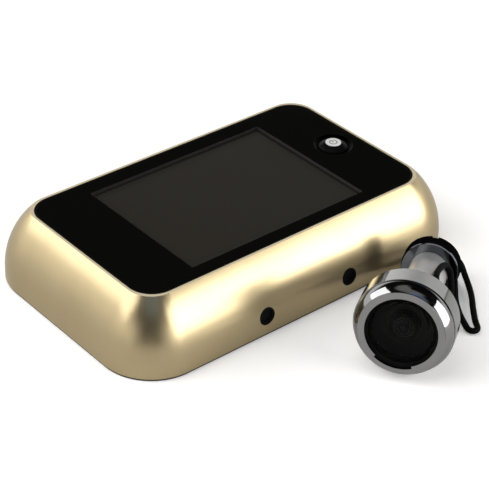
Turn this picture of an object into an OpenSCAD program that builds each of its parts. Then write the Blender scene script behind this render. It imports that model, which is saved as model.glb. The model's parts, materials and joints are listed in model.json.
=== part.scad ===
// Peephole door camera: indoor monitor lying on its back, with the outdoor
// camera head, its sleeve nut and its lead lying on the table in front of it.
// Millimetres. Origin: middle of the back, on the table. Screen faces up.

/* [Monitor shell] */
// Width of the black panel's border beside the screen
border_w = 21.85; // [18:0.05:30]
// Width of the black panel's border above and below the screen
border_d = 5.85; // [5.4:0.05:15]
// Corner radius of the front panel
panel_r = 8.6; // [4:0.1:12]
// Thickness of the front panel
panel_t = 1.9; // [1.2:0.1:3]
// Height of the whole monitor lying down
housing_h = 24.6; // [23:0.1:34]
// Width of the bright rim round the panel
rim_w = 0.9; // [0.4:0.1:2]
// Radius of the bulged side wall
wall_arc_r = 29.6; // [26:0.1:34]
// Slope of the side wall where it leaves the rim, below level
wall_lean = 43.5; // [38:0.5:50]
// Thickness of the shell
shell_t = 2.0; // [1.2:0.1:3]
// Corner radius of the shell, at the panel's edge
shell_r = 7.8; // [6:0.1:12]
// Height of the dark edge of the back cover
cover_edge = 0.8; // [0.4:0.1:2]
// Thickness of the back cover
cover_t = 2.4; // [2.2:0.1:4]

/* [Screen] */
// Visible picture, long side
screen_w = 70.1; // [60:0.1:80]
// Visible picture, short side
screen_d = 52.6; // [44:0.1:54]
// Screen centre along the long side
screen_x = -0.5; // [-3:0.1:3]
// Screen centre along the short side
screen_y = -0.5; // [-2:0.1:2]
// Width of the display module's border beside the picture
lcd_side = 3.4; // [2:0.1:6]
// Width of the display module's border above and below the picture
lcd_end = 5.65; // [3:0.05:5.9]
// Display module thickness
lcd_t = 3.2; // [2.4:0.1:4]
// Depth of the display's face below the panel's face
screen_sink = 1.0; // [0.4:0.1:1.6]

/* [Button] */
// Distance from the panel's right edge to the button's centre
btn_edge = 9.7; // [8:0.1:11]
// Button centre along the short side
btn_y = 1.1; // [-10:0.1:10]
// Radius of the dished place round the button
dish_r = 6.7; // [6:0.1:8]
// Radius of the button cap
btn_r = 4.9; // [4:0.1:5.4]
// Height of the button's dome over the panel
btn_rise = 1.2; // [0.4:0.1:2]
// Radius of the pale disc on the button
icon_r = 2.65; // [1.5:0.05:3.2]
// How far the button goes in
btn_travel = 0.7; // [0.3:0.1:0.8]

/* [Lock holes] */
// Radius of the two holes in the lower long side
lock_r = 2.9; // [2:0.1:3.4]
// Distance along the long side from each hole to the panel's nearer end
lock_end = 39.75; // [38:0.05:42]
// Middle of the two holes along the long side
lock_mid = -1.0; // [-2:0.1:2]
// Height of the holes above the back
lock_z = 7.1; // [6:0.1:9]

/* [Camera head] */
// Radius of the camera head
head_r = 15.5; // [14:0.1:18]
// Length of the camera head, back face to front lip
head_len = 12.6; // [11.5:0.1:15]
// Radius of the opening in the bezel
window_r = 11.1; // [9.5:0.1:11.4]
// Radius of the sleeve behind the head
sleeve_r = 6.2; // [5.8:0.1:6.8]
// Radius of the sleeve's flange
flange_r = 9.4; // [8.4:0.1:11]
// Thickness of the flange
flange_t = 5.2; // [3:0.1:7]
// Distance from the head's back face to the flange's far face
reach = 38.8; // [36:0.1:44]

/* [Camera place on the table] */
// Camera place along the monitor's long side
cam_x = 8.5; // [-20:0.5:20]
// Camera place in front of the monitor
cam_y = -76; // [-90:0.5:-74]
// Direction the camera looks, turned about the upright
cam_yaw = -146.4; // [-160:0.1:-130]

/* [Lead] */
// Diameter of the camera's lead
lead_d = 2.0; // [1.4:0.1:2.1]

/* [Hidden] */
$fn = 96;

// Small overlap that joins solids of one piece, and a cut that runs past a face
eps = 0.01;
past = 1;
// Gaps: round a bonded piece, round a lid or slide, and in a running fit
seat_gap = 0.1;
slide_gap = 0.25;
run_gap = 0.05;

// Black front panel: the screen and its border
panel_w = screen_w + 2 * border_w;
panel_d = screen_d + 2 * border_d;

// Side wall: one arc from the rim down, then upright to the back
arc_run = wall_arc_r * (1 - sin(wall_lean));
arc_drop = wall_arc_r * cos(wall_lean);
base_off = rim_w + arc_run;
arc_u = base_off - wall_arc_r;
arc_z = housing_h - arc_drop;
base_w = panel_w + 2 * base_off;
base_d = panel_d + 2 * base_off;
base_r = shell_r + base_off;

// Levels from the front down
panel_top = housing_h - seat_gap;
panel_bot = panel_top - panel_t;
ledge_w = 3;
ledge_t = 1.6;
ledge_bot = panel_bot - ledge_t;
lcd_gap = 0.2;
lcd_top = ledge_bot - lcd_gap;
lcd_bot = lcd_top - lcd_t;
board_t = 1.6;
board_gap = 1.4;
board_top = lcd_bot - board_gap;
board_bot = board_top - board_t;

// Back cover
cover_inset = 0.35;
cover_gap = 0.15;
plate_inset = shell_t + cover_gap;
post_r = 2.5;
post_x = [30, 49];
post_y = 18;

// Case screws near the four corners
boss_x = panel_w / 2 - 2.9;
boss_y = panel_d / 2 - 2.7;
boss_r = 3.2;
screw_r = 1.05;
screw_hole_r = 1.1;
screw_head_r = 2.6;
screw_head_t = 1.3;
screw_head_z = 0.3;
screw_len = 10;
screw_pocket_r = 2.9;
screw_seat = screw_head_z + screw_head_t;

// Battery bay: three small cells side by side
cell_r = 5.25;
cell_pitch = 11;
cell_body = 43.4;
nub_r = 1.9;
nub_len = 1.1;
spring_len = 1.9;
contact_t = 0.4;
contact_w = 8.6;
contact_h = 9;
cell_count = 3;
bay_wall = 1.2;
bay_w = cell_count * cell_pitch + 1;
bay_d = cell_body + nub_len + spring_len + 2 * contact_t;
bay_shift = 3.3;
bay_x = -panel_w / 2 + bay_w / 2 - bay_shift;
bay_top = board_bot;
bay_roof = bay_top - bay_wall;
cell_gap = 0.3;
cell_z = bay_roof - cell_r - cell_gap;
door_t = 1.4;
door_low = 0.2;
door_lap = 1.4;
door_rib_t = 1;
door_rib_h = 2.4;
door_rib_gap = 6;
door_grip_r = 7;
door_grip_t = 0.7;

// Wall bracket, hooked into the back
lock_gap = panel_w - 2 * lock_end;
brk_t = 1;
brk_side = 5.55;
brk_w = lock_gap + 2 * brk_side;
brk_r = 1.5;
brk_in = 6.875;
brk_low = brk_in - base_d / 2;
brk_play = 0.3;
brk_slide = 3;
stem_hole_r = 7;
stem_hole_y = 10;
pocket_r = 14.5;
pocket_top = 12;
pocket_wall = 1;
brk_high = stem_hole_y + pocket_r + bay_wall + brk_t + brk_slide + 2 * brk_play;
brk_depth = brk_t + brk_play;
tab_w = 8;
tab_h = lock_z + 4;
tab_hole_r = 1.5;
hook_w = 7;
hook_in = 2.15;
hook_x = lock_gap / 2 - hook_in;
hook_lap = 2.6;
hook_z = cover_t + 0.2;
door_screw_r = 2.2;
door_screw_in = 2.3;
door_screw_x = lock_gap - door_screw_in;
door_screw_y = 40;
door_screw_mid = -7;

// Socket for the camera's plug, in the roof of the round pocket
sock_w = 8;
sock_d = 5.6;
sock_low = 8.4;
sock_off = 9.8;
sock_x = lock_mid + sock_off;
sock_wall = 1;
sock_deep = 4;

// Screen parts
lcd_w = screen_w + 2 * lcd_side;
lcd_d = screen_d + 2 * lcd_end;
gasket_side = 2.95;
gasket_end = 1.9;
gasket_w = screen_w + 2 * gasket_side;
gasket_d = screen_d + 2 * gasket_end;
window_gap = 0.7;
frame_floor = 0.6;
glass_gap = 0.1;
ribbon_w = 22;
ribbon_x = 10;
ribbon_t = 0.3;
ribbon_in = 3.95;
ribbon_bend_y = ribbon_in - lcd_d / 2;
ribbon_top_len = 6;
ribbon_low_len = 8;
board_w = 96;
board_in = 7.15;
board_d = panel_d - 2 * board_in;
board_x = 4;
chip_w = 9;
chip_t = 1.2;
chip_x = 36;
can_w = 6;
can_t = 3;
can_x = 22;
can_y = [8, -16];

// Button parts
btn_x = panel_w / 2 - btn_edge;
dish_ball_r = 10;
btn_hole_r = btn_r + 0.3;
btn_top = panel_top + btn_rise;
dome_edge = panel_top - 0.5;
dome_h = btn_top - dome_edge;
dome_r = (btn_r * btn_r + dome_h * dome_h) / (2 * dome_h);
btn_foot_r = 6.2;
btn_foot_top = panel_bot - seat_gap;
btn_foot_t = 0.9;
btn_foot_low = btn_foot_top - btn_foot_t;
plunger_r = 1.5;
plunger_len = 0.4;
icon_top = btn_top - 0.3;
icon_t = 0.55;
switch_w = 6.2;
switch_top = btn_foot_low - plunger_len - btn_travel - seat_gap;
switch_pin_r = 1.75;
switch_pin_h = 0.5;

// Camera head, along its own axis from the back face
rear_chamfer = 0.5;
bezel_seat = 8.2;
shell_in_r = 13.4;
shell_floor = 1.8;
shell_step = 1.2;
shell_step_r = 12.6;
bezel_arc_r = 5.2;
bezel_edge_r = head_r - 0.3;
bezel_arc_c = bezel_edge_r - bezel_arc_r;
bezel_spigot_r = 12.2;
bezel_spigot = 1.6;
lip_h = 0.3;
lip_low = head_len - lip_h;
lip_r = bezel_arc_c + sqrt(pow(bezel_arc_r, 2) - pow(lip_low - bezel_seat, 2)) - run_gap;
bezel_step = 9.2;
bezel_step_r = window_r - 0.9;
notch_from = -38;
notch_turn = 60;
notch_deep = 0.8;
notch_gap = 1;
gasket_t = 2.3;
gasket_lap = 1;
gasket_top = bezel_step + gasket_t;
glass_r = window_r - 0.8;
glass_low = bezel_step + 0.8;
gasket_mid_r = (glass_r + window_r) / 2;
glass_t = 1.2;
sensor_z = shell_floor + shell_step;
sensor_t = 1.2;
holder_r = 6.5;
holder_t = 1.6;
barrel_r = 4.4;
barrel_t = 3;
lens_r = 3;
lens_z = sensor_z + sensor_t + holder_t + 0.8;
lens_edge = 1.8;
lens_bulge = 0.7;
lens_ball_r = 6;

// Stem, sleeve and washer
stem_r = 5.2;
stem_in_r = 4.2;
stem_len = 24;
grommet_t = 4;
sleeve_in_r = stem_r + run_gap;
sleeve_front = 10;
flange_chamfer = 0.5;
washer_r = flange_r - 0.4;
washer_t = 0.8;
washer_low = flange_t - reach + seat_gap;
slot_w = 2;
slot_deep = 1.5;

// The head's back rim and the flange's far rim both rest on the table
cam_tilt = atan((head_r - flange_r - run_gap) / (reach - flange_chamfer + rear_chamfer));
cam_z = head_r * cos(cam_tilt) - rear_chamfer * sin(cam_tilt);
cam_axis = [cos(cam_yaw) * cos(cam_tilt), sin(cam_yaw) * cos(cam_tilt), sin(cam_tilt)];
cam_at = [cam_x, cam_y, cam_z];

// Lead: hand-set points, from the head's place in plan, with height over the table
lead_r = lead_d / 2;
lead_sides = 8;
lead_steps = 2;
lead_plan = [
    [39.6, 23.2, 8], [42, 20.6, 6.9], [43.1, 18.8, 5], [42.6, 16.8, 3], [41, 13.4, 1.6],
    [37.5, 8.4, 1.2], [32.8, 3.2, 1.2], [28.8, -1.5, 1.2], [27.4, -3.5, 1.2], [26.3, -5.15, 1.2],
    [24.8, -5.9, 1.2], [23.4, -4.95, 1.2], [23.5, -3.25, 1.2], [24.45, -1.5, 1.2], [26.7, 2.8, 1.2],
    [30.9, 8.8, 1.2], [36, 14.2, 1.2], [40.8, 19.5, 1.2], [42.9, 25.2, 1.2], [38.9, 29.7, 1.2],
    [31.5, 30, 1.2], [24, 26.6, 1.2], [16.8, 21.2, 1.2], [11.2, 14.4, 1.2], [8.4, 7, 1.5],
    [7.9, 0.8, 3.2], [8.2, -3, 7.2], [9.4, -3.2, 12.8], [12.4, 0.6, 17.6], [16.6, 5.6, 18.9],
    [22, 9.1, 17.9], [26.5, 11, 16.1], [28.6, 10.8, 13.3], [28.6, 9.8, 9.6], [28.1, 8.7, 5.2],
    [25.6, 7.5, 2.2], [22, 8, 2.2]];
lead_in = [for (d = [stem_len, (stem_len + reach) / 2, reach + 1]) cam_at - cam_axis * d];
lead_pts = concat(lead_in, [for (p = lead_plan) [cam_x + p[0], cam_y + p[1], p[2]]]);
lead_last = len(lead_pts) - 1;
plug_len = 9;
plug_w = 5;
plug_h = 4;
plug_neck_len = 2;
plug_neck_r = 1.6;
plug_at = lead_pts[lead_last];
plug_run = plug_at - lead_pts[lead_last - 1];
plug_turn = atan2(plug_run[1], plug_run[0]);

// Smooth curve through the lead's points
function lead_point(k) = k < 0 ? 2 * lead_pts[0] - lead_pts[1]
    : k > lead_last ? 2 * lead_pts[lead_last] - lead_pts[lead_last - 1] : lead_pts[k];
function blend(a, b, c, d, t) = (2 * b + (c - a) * t + (2 * a - 5 * b + 4 * c - d) * t * t
    + (3 * b - a - 3 * c + d) * t * t * t) / 2;
function slope(a, b, c, d, t) = (c - a + 2 * (2 * a - 5 * b + 4 * c - d) * t
    + 3 * (3 * b - a - 3 * c + d) * t * t) / 2;
function unit(v) = v / norm(v);
lead_rings = lead_last * lead_steps;
function span_of(i) = min(floor(i / lead_steps), lead_last - 1);
function part_of(i) = i / lead_steps - span_of(i);
lead_mid = [for (i = [0 : lead_rings]) let (k = span_of(i))
    blend(lead_point(k - 1), lead_point(k), lead_point(k + 1), lead_point(k + 2), part_of(i))];
lead_dir = [for (i = [0 : lead_rings]) let (k = span_of(i))
    unit(slope(lead_point(k - 1), lead_point(k), lead_point(k + 1), lead_point(k + 2), part_of(i)))];
function flat_to(v, t) = unit(v - (v * t) * t);
lead_side = [for (i = 0, v = flat_to([0, 0, 1], lead_dir[0]); i <= lead_rings;
    i = i + 1, v = flat_to(v, lead_dir[min(i, lead_rings)])) v];
lead_verts = [for (i = [0 : lead_rings]) let (u = lead_side[i], w = cross(lead_dir[i], u))
    for (s = [0 : lead_sides - 1]) let (q = 360 * s / lead_sides)
        lead_mid[i] + lead_r * (u * cos(q) + w * sin(q))];
lead_sides_faces = [for (i = [0 : lead_rings - 1]) for (s = [0 : lead_sides - 1])
    let (a = i * lead_sides + s, b = i * lead_sides + (s + 1) % lead_sides)
        [b, a, a + lead_sides, b + lead_sides]];
lead_near_end = [for (s = [0 : lead_sides - 1]) s];
lead_far_end = [for (s = [lead_sides - 1 : -1 : 0]) lead_rings * lead_sides + s];

// Length of the lead and the least gap between its own turns
lead_steps_mm = [for (i = [0 : lead_rings - 1]) norm(lead_mid[i + 1] - lead_mid[i])];
lead_run = [for (i = 0, s = 0; i <= lead_rings;
    s = s + (i < lead_rings ? lead_steps_mm[i] : 0), i = i + 1) s];
turn_apart = 9;
lead_gaps = [for (i = [0 : lead_rings]) for (j = [i : lead_rings])
    if (lead_run[j] - lead_run[i] > turn_apart) norm(lead_mid[i] - lead_mid[j]) - lead_d];
echo(lead_length = lead_run[lead_rings], lead_self_gap = min(lead_gaps));
echo(cam_tilt = cam_tilt, cam_at = cam_at, cam_axis = cam_axis);

// Flat rounded rectangle
module rounded(w, d, r) {
    square([w - 2 * r, d], center = true);
    square([w, d - 2 * r], center = true);
    for (x = [-1, 1], y = [-1, 1])
        translate([x * (w / 2 - r), y * (d / 2 - r)]) circle(r);
}

module slab(w, d, r, low, high) {
    translate([0, 0, low]) linear_extrude(high - low) rounded(w, d, r);
}

module block(x0, x1, y0, y1, z0, z1) {
    translate([x0, y0, z0]) cube([x1 - x0, y1 - y0, z1 - z0]);
}

module post(x, y, r, low, high) {
    translate([x, y, low]) cylinder(r = r, h = high - low);
}

// Section of the side wall: across from the panel's edge, up from the table
module wall_section() {
    difference() {
        intersection() {
            union() {
                translate([arc_u, arc_z]) circle(wall_arc_r);
                translate([-ledge_w, 0]) square([base_off + ledge_w, arc_z]);
            }
            translate([-ledge_w, cover_edge]) square([base_off + ledge_w, housing_h - cover_edge]);
        }
        intersection() {
            union() {
                translate([arc_u, arc_z]) circle(wall_arc_r - shell_t);
                translate([-ledge_w - past, 0]) square([base_off - shell_t + ledge_w + past, arc_z]);
            }
            translate([-ledge_w - past, 0]) square([base_off + ledge_w + past, ledge_bot]);
        }
    }
}

module straight_wall(run) {
    rotate([90, 0, 0]) translate([0, 0, -run / 2]) linear_extrude(run) wall_section();
}

module corner_wall() {
    rotate_extrude(angle = 90) translate([shell_r, 0]) wall_section();
}

module wall_ring() {
    long_run = panel_w - 2 * shell_r;
    short_run = panel_d - 2 * shell_r;
    for (k = [0, 180]) {
        rotate([0, 0, k]) translate([panel_w / 2, 0, 0]) straight_wall(short_run);
        rotate([0, 0, k + 90]) translate([panel_d / 2, 0, 0]) straight_wall(long_run);
        rotate([0, 0, k]) translate([long_run / 2, short_run / 2, 0]) corner_wall();
        rotate([0, 0, k]) translate([-long_run / 2, short_run / 2, 0]) rotate([0, 0, 90]) corner_wall();
    }
}

module front_housing() {
    color([0.78, 0.66, 0.42])
    difference() {
        union() {
            wall_ring();
            for (x = [-1, 1], y = [-1, 1])
                post(x * boss_x, y * boss_y, boss_r, cover_t, ledge_bot + ledge_t / 2);
        }
        slab(panel_w + 2 * seat_gap, panel_d + 2 * seat_gap, panel_r, panel_bot, housing_h + past);
        for (x = [-1, 1], y = [-1, 1])
            post(x * boss_x, y * boss_y, screw_hole_r, cover_t - past, screw_seat + screw_len + past);
        for (x = [-1, 1])
            translate([lock_mid + x * lock_gap / 2, -base_d / 2 - past, lock_z])
                rotate([-90, 0, 0]) cylinder(r = lock_r, h = 2 * shell_t + past);
    }
}

module rear_cover() {
    color([0.13, 0.12, 0.11])
    difference() {
        union() {
            slab(base_w - 2 * cover_inset, base_d - 2 * cover_inset, base_r - cover_inset, 0, cover_edge);
            slab(base_w - 2 * plate_inset, base_d - 2 * plate_inset, base_r - plate_inset, 0, cover_t);
            block(bay_x - bay_w / 2 - bay_wall, bay_x + bay_w / 2 + bay_wall,
                -bay_d / 2 - bay_wall, bay_d / 2 + bay_wall, 0, bay_top);
            post(lock_mid, stem_hole_y, pocket_r + bay_wall, 0, pocket_top + pocket_wall);
            for (x = post_x, y = [-1, 1])
                post(x, y * post_y, post_r, 0, board_bot);
        }
        block(bay_x - bay_w / 2, bay_x + bay_w / 2, -bay_d / 2, bay_d / 2, -past, bay_roof);
        block(bay_x - bay_w / 2 - door_lap, bay_x + bay_w / 2 + door_lap,
            -bay_d / 2 - door_lap, bay_d / 2 + door_lap, -past, door_low + door_t);
        post(lock_mid, stem_hole_y, pocket_r, -past, pocket_top);
        block(lock_mid - brk_w / 2 - brk_play, lock_mid + brk_w / 2 + brk_play,
            brk_low - brk_slide - brk_play, brk_high + brk_play, -past, brk_depth);
        for (x = [-1, 1]) {
            translate([lock_mid + x * lock_gap / 2, 0, 0])
                block(-tab_w / 2 - brk_play, tab_w / 2 + brk_play,
                    brk_low - brk_slide - brk_play, brk_low + brk_t + brk_play, 0, cover_t + past);
            translate([lock_mid + x * hook_x, 0, 0])
                block(-hook_w / 2 - brk_play, hook_w / 2 + brk_play,
                    brk_high - brk_t - brk_slide - brk_play, brk_high + brk_play, 0, cover_t + past);
        }
        for (x = [-1, 1], y = [-1, 1]) {
            post(x * boss_x, y * boss_y, screw_hole_r + run_gap, -past, cover_t + past);
            post(x * boss_x, y * boss_y, screw_pocket_r, -past, screw_seat);
        }
        block(sock_x - sock_w / 2 - slide_gap, sock_x + sock_w / 2 + slide_gap,
            stem_hole_y - sock_d / 2 - slide_gap, stem_hole_y + sock_d / 2 + slide_gap,
            sock_low, pocket_top + pocket_wall + past);
    }
}

module front_panel() {
    color([0.03, 0.03, 0.03])
    difference() {
        slab(panel_w, panel_d, panel_r, panel_bot, panel_top);
        post(btn_x, btn_y, btn_hole_r, panel_bot - past, panel_top + past);
        translate([btn_x, btn_y, panel_top + sqrt(pow(dish_ball_r, 2) - pow(dish_r, 2))])
            sphere(r = dish_ball_r);
        translate([screen_x, screen_y, 0])
            block(-screen_w / 2, screen_w / 2, -screen_d / 2, screen_d / 2,
                panel_bot - past, panel_top + past);
    }
}

module lcd_gasket() {
    color([0.05, 0.05, 0.05])
    translate([screen_x, screen_y, lcd_top])
    difference() {
        translate([-gasket_w / 2, -gasket_d / 2, 0]) cube([gasket_w, gasket_d, panel_bot - lcd_top]);
        translate([-screen_w / 2 - window_gap, -screen_d / 2 - window_gap, -past])
            cube([screen_w + 2 * window_gap, screen_d + 2 * window_gap, panel_bot - lcd_top + 2 * past]);
    }
}

module lcd_frame() {
    color([0.62, 0.62, 0.62])
    translate([screen_x, screen_y, 0])
    difference() {
        block(-lcd_w / 2, lcd_w / 2, -lcd_d / 2, lcd_d / 2, lcd_bot, lcd_top);
        block(-screen_w / 2, screen_w / 2, -screen_d / 2, screen_d / 2,
            lcd_bot + frame_floor, lcd_top + past);
    }
}

module lcd_glass() {
    color([0.1, 0.1, 0.1])
    translate([screen_x, screen_y, 0])
        block(glass_gap - screen_w / 2, screen_w / 2 - glass_gap, glass_gap - screen_d / 2,
            screen_d / 2 - glass_gap, lcd_bot + frame_floor, panel_top - screen_sink);
}

module main_board() {
    color([0.06, 0.3, 0.16])
        block(board_x - board_w / 2, board_x + board_w / 2, -board_d / 2, board_d / 2, board_bot, board_top);
}

module board_parts() {
    color([0.1, 0.1, 0.1]) {
        block(chip_x, chip_x + chip_w, -chip_w / 2, chip_w / 2, board_bot - chip_t, board_bot);
        for (y = can_y)
            block(can_x, can_x + can_w, y, y + can_w, board_bot - can_t, board_bot);
    }
}

module lcd_ribbon() {
    bend_r = (lcd_bot - board_top) / 2;
    color([0.72, 0.45, 0.16])
    translate([ribbon_x - ribbon_w / 2, 0, 0])
    rotate([90, 0, 90])
    linear_extrude(ribbon_w) {
        translate([ribbon_bend_y, lcd_bot - ribbon_t]) square([ribbon_top_len, ribbon_t]);
        translate([ribbon_bend_y, board_top]) square([ribbon_low_len, ribbon_t]);
        intersection() {
            translate([ribbon_bend_y, board_top + bend_r])
                difference() {
                    circle(bend_r);
                    circle(bend_r - ribbon_t);
                }
            translate([ribbon_bend_y - bend_r, board_top]) square([bend_r, 2 * bend_r]);
        }
    }
}

module tact_switch() {
    color([0.2, 0.2, 0.2]) {
        block(btn_x - switch_w / 2, btn_x + switch_w / 2, btn_y - switch_w / 2, btn_y + switch_w / 2,
            board_top, switch_top - switch_pin_h);
        post(btn_x, btn_y, switch_pin_r, switch_top - switch_pin_h, switch_top);
    }
}

module camera_socket() {
    color([0.85, 0.83, 0.78])
    difference() {
        block(sock_x - sock_w / 2, sock_x + sock_w / 2, stem_hole_y - sock_d / 2, stem_hole_y + sock_d / 2,
            sock_low, board_bot);
        block(sock_x - sock_w / 2 + sock_wall, sock_x + sock_w / 2 - sock_wall,
            stem_hole_y - sock_d / 2 + sock_wall, stem_hole_y + sock_d / 2 - sock_wall,
            sock_low - past, sock_low + sock_deep);
    }
}

// One cell along Y, its nub towards +Y
module cell() {
    rotate([-90, 0, 0]) {
        translate([0, 0, -bay_d / 2 + contact_t + spring_len]) cylinder(r = cell_r, h = cell_body);
        translate([0, 0, bay_d / 2 - contact_t - nub_len]) cylinder(r = nub_r, h = nub_len);
    }
}

module cell_place(k) {
    translate([bay_x + (k - 1) * cell_pitch, 0, cell_z]) rotate([0, 0, k == 1 ? 180 : 0]) children();
}

module battery_cells() {
    color([0.2, 0.35, 0.3])
        for (k = [0 : cell_count - 1]) cell_place(k) cell();
}

module battery_contacts() {
    spring_r = 3.6;
    spring_tip_r = 2.4;
    color([0.75, 0.75, 0.72])
        for (k = [0 : cell_count - 1])
            cell_place(k) {
                block(-contact_w / 2, contact_w / 2, -bay_d / 2, -bay_d / 2 + contact_t,
                    -contact_h / 2, contact_h / 2);
                translate([0, -bay_d / 2 + contact_t, 0]) rotate([-90, 0, 0])
                    cylinder(r1 = spring_r, r2 = spring_tip_r, h = spring_len);
                block(-contact_w / 2, contact_w / 2, bay_d / 2 - contact_t, bay_d / 2,
                    -contact_h / 2, contact_h / 2);
            }
}

module case_screws() {
    color([0.3, 0.3, 0.3])
        for (x = [-1, 1], y = [-1, 1]) {
            post(x * boss_x, y * boss_y, screw_head_r, screw_head_z, screw_seat);
            post(x * boss_x, y * boss_y, screw_r, screw_seat, screw_seat + screw_len);
        }
}

module button_cap() {
    color([0.04, 0.04, 0.04])
    translate([btn_x, btn_y, 0])
    rotate_extrude()
    difference() {
        union() {
            intersection() {
                translate([0, btn_top - dome_r]) circle(dome_r);
                translate([0, btn_foot_low]) square([btn_r, btn_top]);
            }
            translate([0, btn_foot_low]) square([btn_r, dome_edge - btn_foot_low]);
            translate([0, btn_foot_low]) square([btn_foot_r, btn_foot_t]);
            translate([0, btn_foot_low - plunger_len]) square([plunger_r, plunger_len]);
        }
        translate([0, icon_top - icon_t]) square([icon_r, icon_t + past]);
        translate([-btn_top, 0]) square([btn_top, 2 * btn_top]);
    }
}

module button_icon() {
    color([0.92, 0.92, 0.92])
        post(btn_x, btn_y, icon_r, icon_top - icon_t, icon_top);
}

module battery_door() {
    half_w = bay_w / 2 + door_lap - slide_gap;
    half_d = bay_d / 2 + door_lap - slide_gap;
    rib_x = bay_w / 2 - slide_gap;
    rib_d = bay_d / 2 - door_rib_gap;
    color([0.14, 0.13, 0.12])
    difference() {
        union() {
            block(bay_x - half_w, bay_x + half_w, -half_d, half_d, door_low, door_low + door_t);
            for (x = [0, 1])
                translate([bay_x, 0, 0]) mirror([x, 0, 0])
                    block(rib_x - door_rib_t, rib_x, -rib_d, rib_d, door_low, door_low + door_t + door_rib_h);
        }
        translate([bay_x, half_d - door_grip_r, door_low - past])
            cylinder(r = door_grip_r - past, h = door_grip_t + past);
    }
}

module wall_bracket() {
    mid = (brk_low + brk_high) / 2;
    color([0.1, 0.1, 0.1])
    difference() {
        union() {
            translate([lock_mid, mid, 0]) slab(brk_w, brk_high - brk_low, brk_r, 0, brk_t);
            for (x = [-1, 1]) {
                translate([lock_mid + x * lock_gap / 2, 0, 0])
                    block(-tab_w / 2, tab_w / 2, brk_low, brk_low + brk_t, 0, tab_h);
                translate([lock_mid + x * hook_x, 0, 0]) {
                    block(-hook_w / 2, hook_w / 2, brk_high - brk_t, brk_high, 0, hook_z + brk_t);
                    block(-hook_w / 2, hook_w / 2, brk_high - brk_t, brk_high + hook_lap,
                        hook_z, hook_z + brk_t);
                }
            }
        }
        post(lock_mid, stem_hole_y, stem_hole_r, -past, brk_t + past);
        for (x = [-1, 1], y = [-1, 1])
            post(lock_mid + x * door_screw_x / 2, door_screw_mid + y * door_screw_y / 2,
                door_screw_r, -past, brk_t + past);
        for (x = [-1, 1])
            translate([lock_mid + x * lock_gap / 2, brk_low - past, lock_z])
                rotate([-90, 0, 0]) cylinder(r = tab_hole_r, h = brk_t + 2 * past);
    }
}

// Places the camera's parts: their axis runs from the back face towards the front
module on_camera() {
    translate(cam_at) rotate([0, 90 - cam_tilt, cam_yaw]) children();
}

module tube(r, r_in, low, high) {
    translate([0, 0, low])
    difference() {
        cylinder(r = r, h = high - low);
        translate([0, 0, -past]) cylinder(r = r_in, h = high - low + 2 * past);
    }
}

module camera_shell() {
    color([0.8, 0.8, 0.82])
    on_camera()
    rotate_extrude()
        polygon([[stem_in_r, 0], [head_r - rear_chamfer, 0], [head_r, rear_chamfer], [head_r, bezel_seat],
            [shell_in_r, bezel_seat], [shell_in_r, sensor_z], [shell_step_r, sensor_z],
            [shell_step_r, shell_floor], [stem_in_r, shell_floor]]);
}

module camera_bezel() {
    color([0.85, 0.85, 0.87])
    on_camera()
    difference() {
        rotate([0, 0, 180]) rotate_extrude()
        union() {
            intersection() {
                translate([bezel_arc_c, bezel_seat]) circle(bezel_arc_r);
                translate([window_r, bezel_seat]) square([head_r - window_r, lip_low - bezel_seat]);
            }
            translate([window_r, bezel_step]) square([lip_r - window_r, head_len - bezel_step]);
            translate([bezel_step_r, bezel_seat]) square([lip_r - bezel_step_r, bezel_step - bezel_seat]);
            translate([bezel_spigot_r, bezel_seat - bezel_spigot])
                square([shell_in_r - seat_gap - bezel_spigot_r, bezel_spigot + eps]);
        }
        rotate([0, 0, notch_from]) rotate_extrude(angle = notch_turn)
            translate([window_r - notch_deep, bezel_step]) square([2 * notch_deep, head_len]);
    }
}

module window_gasket() {
    color([0.02, 0.02, 0.02])
    on_camera() {
        rotate([0, 0, 180]) rotate_extrude()
            polygon([[bezel_step_r, bezel_step], [window_r - run_gap, bezel_step],
                [window_r - run_gap, gasket_top], [glass_r + run_gap, gasket_top],
                [glass_r + run_gap, glass_low], [bezel_step_r - gasket_lap, glass_low],
                [bezel_step_r - gasket_lap, bezel_step]]);
        rotate([0, 0, notch_from + notch_gap]) rotate_extrude(angle = notch_turn - 2 * notch_gap)
            translate([gasket_mid_r, bezel_step])
                square([window_r + notch_deep - run_gap - gasket_mid_r, gasket_t]);
    }
}

module camera_window() {
    color([0.05, 0.05, 0.05])
    on_camera() translate([0, 0, glass_low]) cylinder(r = glass_r, h = glass_t);
}

module sensor_board() {
    color([0.06, 0.3, 0.16])
    on_camera() translate([0, 0, sensor_z]) cylinder(r = shell_in_r - 2 * seat_gap, h = sensor_t);
}

module lens_holder() {
    color([0.06, 0.06, 0.06])
    on_camera() translate([0, 0, sensor_z + sensor_t])
    difference() {
        union() {
            cylinder(r = holder_r, h = holder_t);
            cylinder(r = barrel_r, h = holder_t + barrel_t);
        }
        translate([0, 0, lens_z - sensor_z - sensor_t]) cylinder(r = lens_r, h = barrel_t + past);
    }
}

module camera_lens() {
    color([0.2, 0.2, 0.25])
    on_camera() translate([0, 0, lens_z])
    intersection() {
        cylinder(r = lens_r, h = 2 * lens_edge);
        translate([0, 0, lens_edge + lens_bulge - lens_ball_r]) sphere(r = lens_ball_r);
    }
}

module camera_stem() {
    color([0.7, 0.7, 0.7])
    on_camera() tube(stem_r, stem_in_r, -stem_len, 0);
}

module stem_grommet() {
    color([0.05, 0.05, 0.05])
    on_camera() translate([0, 0, -stem_len]) cylinder(r = stem_in_r, h = grommet_t);
}

module sleeve_washer() {
    color([0.75, 0.75, 0.77])
    on_camera() tube(washer_r, sleeve_r + run_gap, washer_low, washer_low + washer_t);
}

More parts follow.
